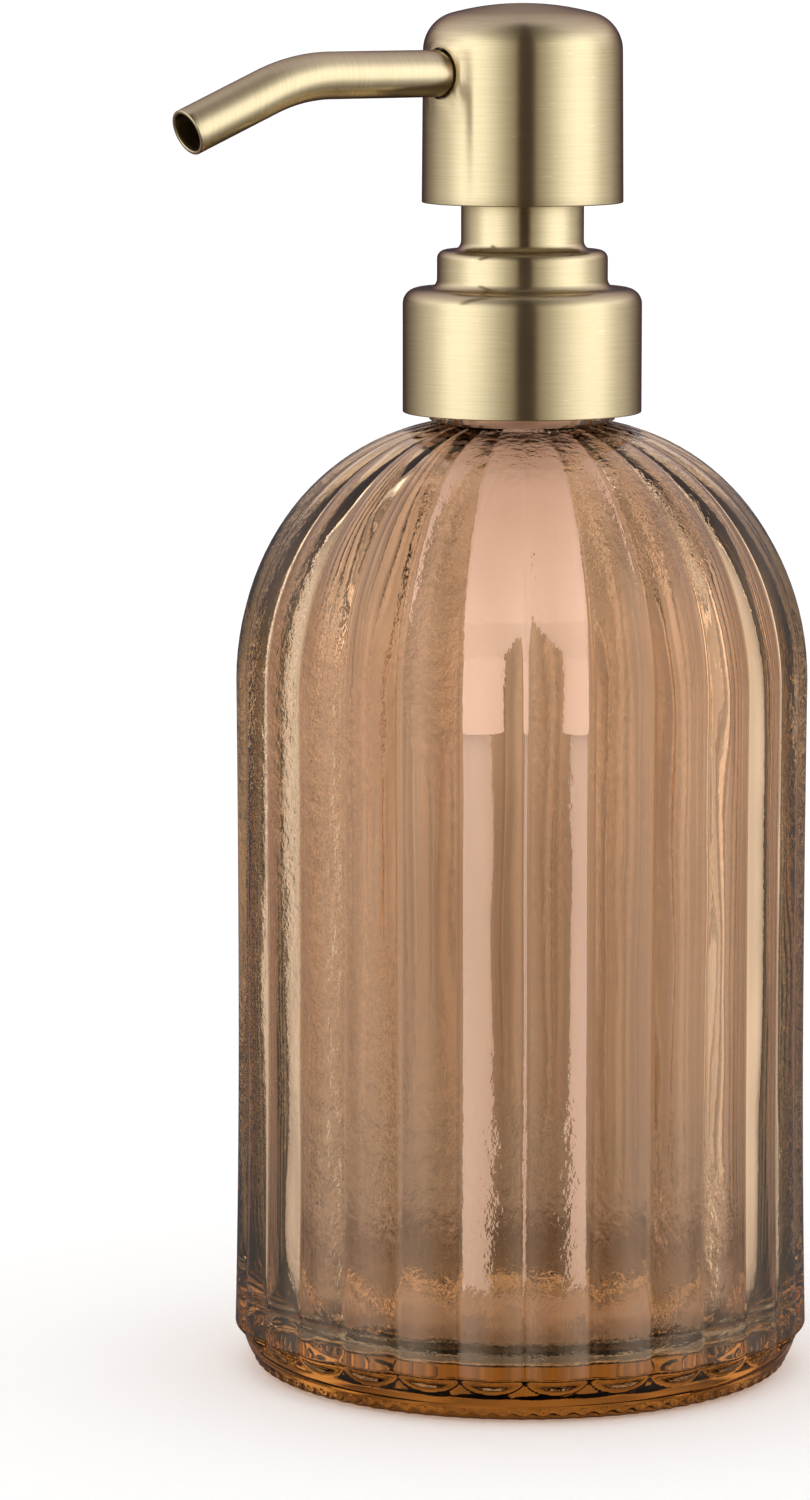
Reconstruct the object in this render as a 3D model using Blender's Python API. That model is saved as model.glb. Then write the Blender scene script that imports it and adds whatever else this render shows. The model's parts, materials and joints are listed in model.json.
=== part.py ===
"""Soap pump dispenser: a ribbed glass bottle with a press-down pump in a stepped metal collar.

Every separate piece is its own object. The origin is the centre of the base, on the surface
that the bottle stands on, +Z is up and the spout points along -Y. Everything that moves turns
about Z or slides along it, so every moving piece has its origin on that axis.
"""

import math

import bmesh
import bpy
from mathutils import Matrix, Vector

MM = 0.001
FULL_TURN = 2 * math.pi
GAP = 0.3 * MM  # clearance between pieces that touch, slide or turn

# Bottle
RIB_COUNT = 28
POINTS_PER_RIB = 4
RIB_PHASE = math.radians(4.57)  # the first seam between two ribs, from +X
RIB_HEIGHT = 1.0 * MM
RIB_CUSP_Z = 6.35 * MM  # the seams end here
RIB_END_Z = 4.4 * MM  # the rounded end of each rib
WAIST_Z = 48.0 * MM
WAIST_RADIUS = 36.05 * MM  # at the seams, as are the next two
FOOT_RADIUS = 36.6 * MM
SHOULDER_RADIUS = 36.2 * MM
SHOULDER_Z = 91.0 * MM
SHOULDER_ACROSS = 29.9 * MM
SHOULDER_UP = 33.6 * MM
SHOULDER_END = math.radians(81)
BASE_RADIUS = 32.2 * MM
BASE_RECESS = 0.9 * MM
BASE_RECESS_RADIUS = 28.0 * MM
BASE_RING_INNER_RADIUS = 29.5 * MM
INSIDE_RADIUS = 33.5 * MM
INSIDE_CORNER = 8.0 * MM
FLOOR_Z = 6.0 * MM
BORE_RADIUS = 9.5 * MM
NECK_RADIUS = 12.0 * MM
LIP_Z = 136.4 * MM

# Neck thread, a 28 mm finish of six threads to the inch
THREAD_PITCH = 25.4 / 6 * MM
THREAD_TURNS = 1.25
THREAD_START_Z = 128.5 * MM
THREAD_RADIUS = 13.2 * MM
NUT_ROOT_RADIUS = 13.55 * MM
NUT_CREST_RADIUS = 12.35 * MM

# Metal collar and the closure inside it
SHEET = 0.4 * MM
COLLAR_RADIUS = 15.46 * MM
COLLAR_BOTTOM_Z = 125.5 * MM
COLLAR_TOP_Z = 141.5 * MM
COLLAR_ROUNDING = 2.0 * MM
STEP_RADIUS = 11.03 * MM
STEP_TOP_Z = 146.4 * MM
STEP_ROUNDING = 1.1 * MM
STEP_FILLET = 1.2 * MM
SLEEVE_RADIUS = 7.93 * MM
SLEEVE_TOP_Z = 154.3 * MM
SLEEVE_HOLE_RADIUS = 6.6 * MM
CLOSURE_BOTTOM_Z = 125.9 * MM

# Pump body, from its flange down
FLANGE_RADIUS = 11.7 * MM
FLANGE_Z = 138.0 * MM
FLANGE_TOP_Z = 139.2 * MM
CYLINDER_RADIUS = 7.6 * MM
CYLINDER_BORE = 6.5 * MM
CYLINDER_FOOT_Z = 98.5 * MM
LEDGE_Z = 100.5 * MM
VENT_Z = 132.0 * MM
CHAMBER_RADIUS = 3.3 * MM
SEAT_Z = 93.5 * MM
THROAT_RADIUS = 1.7 * MM
NIPPLE_RADIUS = 4.7 * MM
NIPPLE_TOP_Z = 92.0 * MM
NIPPLE_BOTTOM_Z = 84.0 * MM
INLET_BALL_RADIUS = 2.5 * MM
INLET_BALL_Z = 95.8 * MM
SEAT_THICKNESS = 1.2 * MM
TUBE_RADIUS = 3.2 * MM
TUBE_BORE = 2.4 * MM
TUBE_TOP_Z = 91.5 * MM
TUBE_BOTTOM_Z = 9.0 * MM
TUBE_SLANT = 0.4  # rise of the lower end for each unit across
GUIDE_BOTTOM_Z = 133.0 * MM
GUIDE_RADIUS = 6.2 * MM
GUIDE_FLANGE_RADIUS = 8.0 * MM
GUIDE_TOP_Z = 147.4 * MM
SEAL_POCKET_DEPTH = 1.6 * MM

# Plunger
STEM_RADIUS = 3.6 * MM
STEM_BORE = 1.5 * MM
STEM_BOTTOM_Z = 122.5 * MM
STEM_TOP_Z = 165.6 * MM
STEM_SHOULDER_Z = 131.2 * MM
VALVE_BORE = 2.3 * MM
VALVE_TOP_Z = 129.8 * MM
PISTON_Z = 122.6 * MM
PISTON_TOP_Z = 130.8 * MM
SEAT_FLANGE_RADIUS = 5.2 * MM
SEAT_FLANGE_Z = 120.9 * MM
SEAT_FLANGE_TOP_Z = 122.2 * MM
SEAT_PLUG_TOP_Z = 124.2 * MM
OUTLET_BALL_RADIUS = 1.75 * MM
OUTLET_BALL_Z = 125.95 * MM
WIRE_RADIUS = 0.45 * MM
SPRING_RADIUS = 4.6 * MM
OPEN_COILS = 5

# Head and spout
HEAD_WALL = 0.5 * MM
HEAD_RADIUS = 12.85 * MM
HEAD_RIM_RADIUS = 13.0 * MM
HEAD_RIM_Z = 152.5 * MM
HEAD_CORNER_RADIUS = 5.0 * MM
HEAD_CORNER_Z = 171.97 * MM
HEAD_CROWN_ANGLE = math.radians(75)
CORE_RADIUS = 12.0 * MM
CORE_SKIRT_Z = 160.0 * MM
CORE_SKIRT_INNER = 8.5 * MM
CORE_WEB_Z = 165.3 * MM
CORE_TOP_Z = 174.5 * MM
HUB_RADIUS = 5.9 * MM
HUB_BOTTOM_Z = 158.5 * MM
SPOUT_Z = 169.2 * MM
SPOUT_RADIUS = 3.0 * MM
SPOUT_WALL = 0.5 * MM
SPOUT_ROOT = 4.6 * MM
SPOUT_STRAIGHT = 29.5 * MM
SPOUT_BEND_RADIUS = 25.0 * MM
SPOUT_DROOP = math.radians(22.5)
SPOUT_REACH = 50.8 * MM
SPOUT_SEAL_REACH = 7.8 * MM


def clear_scene():
    for found in list(bpy.data.objects):
        bpy.data.objects.remove(found)


def finish(name, colour, roughness, metallic=0.0, transmission=0.0):
    """A Principled material of one plain colour."""
    material = bpy.data.materials.new(name)
    material.use_nodes = True
    shader = material.node_tree.nodes["Principled BSDF"]
    shader.inputs["Base Color"].default_value = (*colour, 1.0)
    shader.inputs["Roughness"].default_value = roughness
    shader.inputs["Metallic"].default_value = metallic
    shader.inputs["Transmission Weight"].default_value = transmission
    return material


def add_object(name, bm, material=None):
    """Turns a bmesh into a smooth-shaded object with its normals outwards."""
    bmesh.ops.remove_doubles(bm, verts=bm.verts, dist=0.001 * MM)
    bmesh.ops.recalc_face_normals(bm, faces=bm.faces)
    mesh = bpy.data.meshes.new(name)
    bm.to_mesh(mesh)
    bm.free()
    mesh.shade_smooth()
    mesh.set_sharp_from_angle(angle=math.radians(35))
    made = bpy.data.objects.new(name, mesh)
    bpy.context.scene.collection.objects.link(made)
    if material:
        mesh.materials.append(material)
    return made


def rounded(corners, steps=2):
    """The outline through (radius, height) corners; a third value rounds that corner."""
    points = []
    for index, corner in enumerate(corners):
        here = Vector(corner[:2])
        if len(corner) < 3:
            points.append(here)
            continue
        before = (Vector(corners[index - 1][:2]) - here).normalized()
        after = (Vector(corners[(index + 1) % len(corners)][:2]) - here).normalized()
        half = before.angle(after) / 2
        centre = here + (before + after).normalized() * corner[2] / math.sin(half)
        start = here + before * corner[2] / math.tan(half) - centre
        sweep = math.pi - 2 * half
        if before.x * after.y - before.y * after.x > 0:
            sweep = -sweep
        for step in range(steps + 1):
            points.append(centre + Matrix.Rotation(sweep * step / steps, 2) @ start)
    return points


def arc(centre_r, centre_z, across, up, start, end, steps):
    """Points on an ellipse in the (radius, height) plane, between two angles."""
    turns = [start + (end - start) * step / steps for step in range(steps + 1)]
    return [(centre_r + across * math.cos(a), centre_z + up * math.sin(a)) for a in turns]


def turned_mesh(outline, sides):
    """A bmesh turned about Z. An outline with both ends on the axis isn't closed along it."""
    bm = bmesh.new()
    verts = [bm.verts.new((r, 0, z)) for r, z in outline]
    edges = [bm.edges.new(pair) for pair in zip(verts, verts[1:])]
    if outline[0][0] > 0 or outline[-1][0] > 0:
        edges.append(bm.edges.new((verts[-1], verts[0])))
    bmesh.ops.spin(
        bm, geom=verts + edges, cent=(0, 0, 0), axis=(0, 0, 1),
        angle=FULL_TURN, steps=sides, use_merge=True,
    )
    return bm


def turned(name, outline, sides, material=None):
    return add_object(name, turned_mesh(outline, sides), material)


def tube(name, inner, outer, low, high, sides, material):
    """A plain turned ring or sleeve."""
    outline = [(inner, low), (outer, low), (outer, high), (inner, high)]
    return turned(name, outline, sides, material)


def rod(name, radius, start, end, sides):
    """A solid cylinder between two points."""
    axis = Vector(end) - Vector(start)
    middle = Matrix.Translation((Vector(start) + Vector(end)) / 2)
    bm = bmesh.new()
    bmesh.ops.create_cone(
        bm, cap_ends=True, segments=sides, radius1=radius, radius2=radius, depth=axis.length,
        matrix=middle @ axis.to_track_quat("Z", "Y").to_matrix().to_4x4(),
    )
    return add_object(name, bm)


def ball(name, radius, height, material):
    bm = bmesh.new()
    bmesh.ops.create_uvsphere(bm, u_segments=12, v_segments=7, radius=radius)
    made = add_object(name, bm, material)
    made.location.z = height
    return made


def bridge(bm, lower, upper):
    """Joins two closed loops of vertices that have the same number of points."""
    edges = []
    for loop in (lower, upper):
        for a, b in zip(loop, loop[1:] + loop[:1]):
            edges.append(bm.edges.get((a, b)) or bm.edges.new((a, b)))
    bmesh.ops.bridge_loops(bm, edges=edges)


def combine(target, tool, operation):
    """Joins or cuts with a helper object, which isn't a piece itself."""
    tool.hide_render = True
    tool.display_type = "WIRE"
    modifier = target.modifiers.new(f"{operation.title()} {tool.name}", "BOOLEAN")
    modifier.operation = operation
    modifier.object = tool
    modifier.solver = "EXACT"


def thread_ridge(name, foot_radius, crest_radius, start_z, sides):
    """A trapezoid ridge that climbs a right-hand helix."""
    foot, crest = 0.95 * MM, 0.55 * MM
    section = [
        (foot_radius, start_z - foot),
        (crest_radius, start_z - crest),
        (crest_radius, start_z + crest),
        (foot_radius, start_z + foot),
    ]
    bm = bmesh.new()
    start = bm.faces.new([bm.verts.new((r, 0, z)) for r, z in section])
    bmesh.ops.spin(
        bm, geom=[start], cent=(0, 0, 0), axis=(0, 0, 1), dvec=(0, 0, THREAD_PITCH / sides),
        angle=THREAD_TURNS * FULL_TURN, steps=round(THREAD_TURNS * sides), use_duplicate=False,
    )
    return add_object(name, bm)


def seam_radius(z):
    """Outer radius of the bottle at the seams between its ribs."""
    if z < RIB_CUSP_Z:
        up = 1 - z / RIB_CUSP_Z
        return BASE_RADIUS + (FOOT_RADIUS - BASE_RADIUS) * math.sqrt(1 - up**2)
    if z < WAIST_Z:
        flare = (WAIST_Z - z) / (WAIST_Z - RIB_CUSP_Z)
        return WAIST_RADIUS + (FOOT_RADIUS - WAIST_RADIUS) * flare**2
    if z < SHOULDER_Z:
        flare = (z - WAIST_Z) / (SHOULDER_Z - WAIST_Z)
        return WAIST_RADIUS + (SHOULDER_RADIUS - WAIST_RADIUS) * flare**2
    across = math.sqrt(1 - ((z - SHOULDER_Z) / SHOULDER_UP) ** 2)
    return SHOULDER_RADIUS - SHOULDER_ACROSS * (1 - across)


def rib_rise(z, across):
    """How far a rib stands out; across is 0 at its crest and 1 at the seam."""
    height = RIB_HEIGHT * seam_radius(z) / SHOULDER_RADIUS
    down = max(0, (RIB_CUSP_Z - z) / (RIB_CUSP_Z - RIB_END_Z))
    return max(0, height * (1 - across**2 - down**2))


def bottle_ring(bm, z):
    """One closed loop round the ribbed outside."""
    count = RIB_COUNT * POINTS_PER_RIB
    loop = []
    for index in range(count):
        angle = RIB_PHASE + FULL_TURN * index / count
        across = abs(2 * (index % POINTS_PER_RIB) / POINTS_PER_RIB - 1)
        radius = seam_radius(z) + rib_rise(z, across)
        loop.append(bm.verts.new((radius * math.cos(angle), radius * math.sin(angle), z)))
    return loop


def make_bottle(glass):
    heel = [0, 0.8 * MM, 2.4 * MM, RIB_END_Z, RIB_CUSP_Z]
    body = [WAIST_Z, SHOULDER_Z]
    steps = 5
    turns = [SHOULDER_END * step / steps for step in range(1, steps + 1)]
    shoulder = [SHOULDER_Z + SHOULDER_UP * math.sin(turn) for turn in turns]
    bm = bmesh.new()
    loops = [bottle_ring(bm, z) for z in heel + body + shoulder]
    for lower, upper in zip(loops, loops[1:]):
        bridge(bm, lower, upper)
    bm.faces.new(loops[0])
    bm.faces.new(loops[-1])
    bottle = add_object("glass_bottle", bm, glass)

    neck_foot = shoulder[-1] - 5 * MM
    lip_rounding = 0.6 * MM
    neck = [
        (0, neck_foot),
        (NECK_RADIUS, neck_foot),
        (NECK_RADIUS, LIP_Z - lip_rounding),
        (NECK_RADIUS - lip_rounding, LIP_Z),
        (0, LIP_Z),
    ]
    combine(bottle, turned("neck_outside", neck, 36), "UNION")
    ridge = thread_ridge("neck_thread", NECK_RADIUS - 0.6 * MM, THREAD_RADIUS, THREAD_START_Z, 36)
    combine(bottle, ridge, "UNION")

    wall = SHOULDER_RADIUS - INSIDE_RADIUS
    across, up = SHOULDER_ACROSS - wall, SHOULDER_UP - wall
    centre_r = SHOULDER_RADIUS - SHOULDER_ACROSS
    bore_angle = math.acos((BORE_RADIUS - centre_r) / across)
    corner_r, corner_z = INSIDE_RADIUS - INSIDE_CORNER, FLOOR_Z + INSIDE_CORNER
    hollow = [(0, FLOOR_Z)]
    hollow += arc(corner_r, corner_z, INSIDE_CORNER, INSIDE_CORNER, -math.pi / 2, 0, 4)
    hollow += arc(centre_r, SHOULDER_Z, across, up, 0, bore_angle, 6)
    hollow += [(BORE_RADIUS, LIP_Z + 1 * MM), (0, LIP_Z + 1 * MM)]
    combine(bottle, turned("bottle_hollow", hollow, 36), "DIFFERENCE")

    slope = (BASE_RING_INNER_RADIUS - BASE_RECESS_RADIUS) / BASE_RECESS
    below = -1 * MM
    recess = [
        (0, below),
        (BASE_RING_INNER_RADIUS - slope * below, below),
        (BASE_RECESS_RADIUS, BASE_RECESS),
        (0, BASE_RECESS),
    ]
    combine(bottle, turned("base_recess", recess, 36), "DIFFERENCE")


def make_collar(metal):
    """The stepped cover, drawn from one sheet: skirt, step and narrow sleeve."""
    skirt, step, sleeve = (r - SHEET for r in (COLLAR_RADIUS, STEP_RADIUS, SLEEVE_RADIUS))
    top, step_top, sleeve_top = (z - SHEET for z in (COLLAR_TOP_Z, STEP_TOP_Z, SLEEVE_TOP_Z))
    outline = rounded([
        (COLLAR_RADIUS, COLLAR_BOTTOM_Z),
        (COLLAR_RADIUS, COLLAR_TOP_Z, COLLAR_ROUNDING),
        (STEP_RADIUS, COLLAR_TOP_Z, STEP_FILLET),
        (STEP_RADIUS, STEP_TOP_Z, STEP_ROUNDING),
        (SLEEVE_RADIUS, STEP_TOP_Z, STEP_FILLET),
        (SLEEVE_RADIUS, SLEEVE_TOP_Z),
        (SLEEVE_HOLE_RADIUS, SLEEVE_TOP_Z),
        (SLEEVE_HOLE_RADIUS, sleeve_top),
        (sleeve, sleeve_top),
        (sleeve, step_top, STEP_FILLET + SHEET),
        (step, step_top, STEP_ROUNDING - SHEET),
        (step, top, STEP_FILLET + SHEET),
        (skirt, top, COLLAR_ROUNDING - SHEET),
        (skirt, COLLAR_BOTTOM_Z),
    ])
    turned("collar_shell", outline, 28, metal)


def make_closure(plastic):
    """The threaded cap that clamps the pump to the neck, inside the metal collar."""
    outer = COLLAR_RADIUS - SHEET - GAP
    top = COLLAR_TOP_Z - SHEET - GAP
    plate = FLANGE_TOP_Z + GAP
    hole = GUIDE_FLANGE_RADIUS + GAP
    outline = [
        (outer, CLOSURE_BOTTOM_Z),
        (outer, top - COLLAR_ROUNDING),
        (outer - COLLAR_ROUNDING, top),
        (hole, top),
        (hole, plate),
        (NUT_ROOT_RADIUS, plate),
        (NUT_ROOT_RADIUS, CLOSURE_BOTTOM_Z),
    ]
    cap = turned("closure_cap", outline, 28, plastic)
    start_z = THREAD_START_Z + THREAD_PITCH / 2
    inside = NUT_ROOT_RADIUS + 0.6 * MM
    combine(cap, thread_ridge("closure_thread", inside, NUT_CREST_RADIUS, start_z, 28), "UNION")


def make_gasket(rubber):
    inner = CYLINDER_RADIUS + 2 * GAP
    tube("neck_gasket", inner, FLANGE_RADIUS, LIP_Z + GAP, FLANGE_Z - GAP, 24, rubber)


def make_cylinder(plastic):
    """The housing that hangs in the neck: flange, bore, ball seat and dip tube socket."""
    outline = [
        (FLANGE_RADIUS, FLANGE_Z),
        (FLANGE_RADIUS, FLANGE_TOP_Z),
        (CYLINDER_BORE, FLANGE_TOP_Z),
        (CYLINDER_BORE, LEDGE_Z),
        (CHAMBER_RADIUS, LEDGE_Z),
        (CHAMBER_RADIUS, SEAT_Z + CHAMBER_RADIUS - THROAT_RADIUS),
        (THROAT_RADIUS, SEAT_Z),
        (THROAT_RADIUS, NIPPLE_TOP_Z),
        (TUBE_RADIUS + GAP, NIPPLE_TOP_Z),
        (TUBE_RADIUS + GAP, NIPPLE_BOTTOM_Z),
        (NIPPLE_RADIUS, NIPPLE_BOTTOM_Z),
        (NIPPLE_RADIUS, SEAT_Z),
        (CYLINDER_RADIUS, CYLINDER_FOOT_Z),
        (CYLINDER_RADIUS, FLANGE_Z),
    ]
    housing = turned("pump_cylinder", outline, 24, plastic)
    vent = rod("vent_hole", 0.6 * MM, (0, 5 * MM, VENT_Z), (0, 9 * MM, VENT_Z), 8)
    combine(housing, vent, "DIFFERENCE")


def make_guide(plastic):
    """The snap-in plug that closes the cylinder, stops the plunger and guides its stem."""
    bore = STEM_RADIUS + GAP
    flange_low, flange_high = FLANGE_TOP_Z + GAP, COLLAR_TOP_Z - SHEET - GAP
    pocket, pocket_z = bore + 1.4 * MM, GUIDE_TOP_Z - SEAL_POCKET_DEPTH
    outline = [
        (bore, GUIDE_BOTTOM_Z),
        (GUIDE_RADIUS, GUIDE_BOTTOM_Z),
        (GUIDE_RADIUS, flange_low),
        (GUIDE_FLANGE_RADIUS, flange_low),
        (GUIDE_FLANGE_RADIUS, flange_high),
        (GUIDE_RADIUS, flange_high),
        (GUIDE_RADIUS, GUIDE_TOP_Z),
        (pocket, GUIDE_TOP_Z),
        (pocket, pocket_z),
        (bore, pocket_z),
    ]
    turned("stem_guide", outline, 24, plastic)


def make_stem_seal(rubber):
    """The ring that keeps water out where the stem enters its guide."""
    inner = STEM_RADIUS + GAP
    low = GUIDE_TOP_Z - SEAL_POCKET_DEPTH + GAP
    tube("stem_seal", inner, inner + 1.1 * MM, low, GUIDE_TOP_Z, 24, rubber)


def make_spring_seat(plastic):
    """The ported disc that carries the spring and keeps the inlet ball in its chamber."""
    low = LEDGE_Z + GAP
    high = low + SEAT_THICKNESS
    disc = tube("spring_seat", 1.0 * MM, CYLINDER_BORE - GAP, low, high, 24, plastic)
    ports = 4
    for index in range(ports):
        angle = FULL_TURN * (index + 0.5) / ports
        x, y = 2.5 * MM * math.cos(angle), 2.5 * MM * math.sin(angle)
        port = rod(f"port_{index}", 0.7 * MM, (x, y, low - 1 * MM), (x, y, high + 1 * MM), 8)
        combine(disc, port, "DIFFERENCE")


def make_spring(steel):
    """A round-wire compression spring with a closed coil at each end."""
    low = LEDGE_Z + GAP + SEAT_THICKNESS + GAP + WIRE_RADIUS
    high = SEAT_FLANGE_Z - GAP - WIRE_RADIUS
    closed_rise = 2.3 * WIRE_RADIUS
    open_rise = (high - low - 2 * closed_rise) / OPEN_COILS
    points_per_coil = 12
    path = []
    for index in range((OPEN_COILS + 2) * points_per_coil + 1):
        coil = index / points_per_coil
        opened = min(max(coil - 1, 0), OPEN_COILS)
        angle = FULL_TURN * coil
        z = low + (coil - opened) * closed_rise + opened * open_rise
        path.append((SPRING_RADIUS * math.cos(angle), SPRING_RADIUS * math.sin(angle), z, 1))
    curve = bpy.data.curves.new("return_spring", "CURVE")
    curve.dimensions = "3D"
    curve.bevel_depth = WIRE_RADIUS
    curve.bevel_resolution = 1
    curve.use_fill_caps = True
    spline = curve.splines.new("POLY")
    spline.points.add(len(path) - 1)
    for point, place in zip(spline.points, path):
        point.co = place
    curve.materials.append(steel)
    spring = bpy.data.objects.new("return_spring", curve)
    bpy.context.scene.collection.objects.link(spring)


def make_dip_tube(plastic):
    """The suction tube, its lower end cut on a slant so that it can't seal on the floor."""
    outline = [
        (TUBE_RADIUS, TUBE_BOTTOM_Z),
        (TUBE_RADIUS, TUBE_TOP_Z),
        (TUBE_BORE, TUBE_TOP_Z),
        (TUBE_BORE, TUBE_BOTTOM_Z),
    ]
    bm = turned_mesh(outline, 20)
    for vert in bm.verts:
        if vert.co.z < NIPPLE_BOTTOM_Z:
            vert.co.z += vert.co.x * TUBE_SLANT
    add_object("dip_tube", bm, plastic)


def make_stem(plastic):
    """The hollow stem, its bore wider at the foot where the outlet valve sits."""
    shoulder, shoulder_top = STEM_RADIUS + 1.4 * MM, STEM_SHOULDER_Z + 1.2 * MM
    outline = [
        (VALVE_BORE, STEM_BOTTOM_Z),
        (STEM_RADIUS, STEM_BOTTOM_Z),
        (STEM_RADIUS, STEM_SHOULDER_Z),
        (shoulder, STEM_SHOULDER_Z),
        (shoulder, shoulder_top),
        (STEM_RADIUS, shoulder_top),
        (STEM_RADIUS, STEM_TOP_Z),
        (STEM_BORE, STEM_TOP_Z),
        (STEM_BORE, VALVE_TOP_Z + 0.8 * MM),
        (VALVE_BORE, VALVE_TOP_Z),
    ]
    turned("plunger_stem", outline, 20, plastic)


def make_piston(plastic):
    """The sliding seal: a sleeve on the stem with a lip at each end."""
    inner, outer = STEM_RADIUS + GAP, CYLINDER_BORE - GAP
    waist, lip = outer - 0.7 * MM, 1.4 * MM
    outline = [
        (inner, PISTON_Z),
        (waist, PISTON_Z),
        (outer, PISTON_Z + 0.3 * MM),
        (outer, PISTON_Z + lip),
        (waist, PISTON_Z + lip + 0.7 * MM),
        (waist, PISTON_TOP_Z - lip - 0.7 * MM),
        (outer, PISTON_TOP_Z - lip),
        (outer, PISTON_TOP_Z),
        (outer - 0.6 * MM, PISTON_TOP_Z),
        (waist - 0.5 * MM, PISTON_TOP_Z - lip),
        (inner, PISTON_TOP_Z - lip),
    ]
    turned("piston_cup", outline, 20, plastic)


def make_valve_seat(plastic):
    """The hollow foot that the outlet ball sits on and the spring pushes against."""
    bore, plug = 1.1 * MM, VALVE_BORE - GAP
    outline = [
        (bore, SEAT_FLANGE_Z),
        (SEAT_FLANGE_RADIUS, SEAT_FLANGE_Z),
        (SEAT_FLANGE_RADIUS, SEAT_FLANGE_TOP_Z),
        (plug, SEAT_FLANGE_TOP_Z),
        (plug, SEAT_PLUG_TOP_Z),
        (bore, SEAT_PLUG_TOP_Z),
    ]
    turned("valve_seat", outline, 20, plastic)


def head_outline(inset):
    """Half section of the head from its rim to the middle of its crown, moved in by the wall."""
    corner_r = HEAD_RADIUS - HEAD_CORNER_RADIUS
    corner = HEAD_CORNER_RADIUS - inset
    crown_radius = corner_r / math.cos(HEAD_CROWN_ANGLE) + HEAD_CORNER_RADIUS
    crown_z = HEAD_CORNER_Z - (crown_radius - HEAD_CORNER_RADIUS) * math.sin(HEAD_CROWN_ANGLE)
    crown = crown_radius - inset
    points = [(HEAD_RIM_RADIUS - inset, HEAD_RIM_Z)]
    points += arc(corner_r, HEAD_CORNER_Z, corner, corner, 0, HEAD_CROWN_ANGLE, 4)
    points += arc(0, crown_z, crown, crown, HEAD_CROWN_ANGLE, math.pi / 2, 3)[1:-1]
    return points + [(0, crown_z + crown)]


def make_head_shell(metal):
    """The drawn metal cap of the head, with the hole that the spout passes through."""
    outline = head_outline(0)[::-1] + head_outline(HEAD_WALL)
    shell = turned("head_shell", outline, 32, metal)
    hole = SPOUT_RADIUS + GAP
    cutter = rod("spout_hole", hole, (0, -10 * MM, SPOUT_Z), (0, -16 * MM, SPOUT_Z), 20)
    combine(shell, cutter, "DIFFERENCE")


def make_head_core(plastic):
    """The insert that fills the head: stem hub, skirt, and the passage to the spout."""
    outline = [
        (0, HUB_BOTTOM_Z),
        (HUB_RADIUS, HUB_BOTTOM_Z),
        (HUB_RADIUS, CORE_WEB_Z),
        (CORE_SKIRT_INNER, CORE_WEB_Z),
        (CORE_SKIRT_INNER, CORE_SKIRT_Z),
        (CORE_RADIUS, CORE_SKIRT_Z),
        (CORE_RADIUS, CORE_TOP_Z - 2.1 * MM),
        (CORE_RADIUS - 1.8 * MM, CORE_TOP_Z),
        (0, CORE_TOP_Z),
    ]
    core = turned("head_core", outline, 24, plastic)
    below, beside = HUB_BOTTOM_Z - 1 * MM, -(CORE_RADIUS + 2 * MM)
    socket_top = STEM_TOP_Z + GAP
    groove = SPOUT_RADIUS + GAP + 1.0 * MM
    seal_half = 0.9 * MM
    groove_near, groove_far = seal_half - SPOUT_SEAL_REACH, -seal_half - SPOUT_SEAL_REACH
    root = GAP - SPOUT_ROOT
    cutters = [
        rod("stem_socket", STEM_RADIUS + GAP, (0, 0, below), (0, 0, socket_top), 24),
        rod("riser", 1.8 * MM, (0, 0, socket_top - 1 * MM), (0, 0, SPOUT_Z), 16),
        rod("passage", 2.1 * MM, (0, 2.5 * MM, SPOUT_Z), (0, root - 1 * MM, SPOUT_Z), 16),
        rod("spout_socket", SPOUT_RADIUS + GAP, (0, root, SPOUT_Z), (0, beside, SPOUT_Z), 20),
        rod("seal_groove", groove, (0, groove_near, SPOUT_Z), (0, groove_far, SPOUT_Z), 20),
    ]
    for cutter in cutters:
        combine(core, cutter, "DIFFERENCE")


def spout_path():
    """(place, direction) along the spout: out of the head, one bend, straight to the tip."""
    places = [(SPOUT_ROOT, SPOUT_Z, 0)]
    steps = 6
    for step in range(steps + 1):
        droop = SPOUT_DROOP * step / steps
        reach = SPOUT_STRAIGHT + SPOUT_BEND_RADIUS * math.sin(droop)
        drop = SPOUT_BEND_RADIUS * (1 - math.cos(droop))
        places.append((reach, SPOUT_Z - drop, droop))
    bend_end, bend_z, _ = places[-1]
    tip_z = bend_z - (SPOUT_REACH - bend_end) * math.tan(SPOUT_DROOP)
    places.append((SPOUT_REACH, tip_z, SPOUT_DROOP))
    return [(Vector((0, -r, z)), Vector((0, -math.cos(a), -math.sin(a)))) for r, z, a in places]


def make_spout(metal):
    """The bent tube, open at both ends."""
    sides = 20
    side = Vector((1, 0, 0))
    bm = bmesh.new()
    skins = []
    for radius in (SPOUT_RADIUS, SPOUT_RADIUS - SPOUT_WALL):
        rings = []
        for place, direction in spout_path():
            up = direction.cross(side)
            turns = [FULL_TURN * index / sides for index in range(sides)]
            offsets = [side * math.cos(turn) + up * math.sin(turn) for turn in turns]
            rings.append([bm.verts.new(place + offset * radius) for offset in offsets])
        for first, second in zip(rings, rings[1:]):
            bridge(bm, first, second)
        skins.append(rings)
    for outer, inner in ((skins[0][end], skins[1][end]) for end in (0, -1)):
        for index in range(sides):
            after = (index + 1) % sides
            bm.faces.new((outer[index], outer[after], inner[after], inner[index]))
    add_object("spout_tube", bm, metal)


def make_spout_seal(rubber):
    """The O-ring round the root of the spout, in the core's groove."""
    wire = 0.35 * MM
    section = arc(SPOUT_RADIUS + GAP + wire, 0, wire, wire, 0, FULL_TURN, 6)[:-1]
    seal = turned("spout_seal", section, 20, rubber)
    seal.location = (0, -SPOUT_SEAL_REACH, SPOUT_Z)
    seal.rotation_euler.x = math.pi / 2


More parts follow.
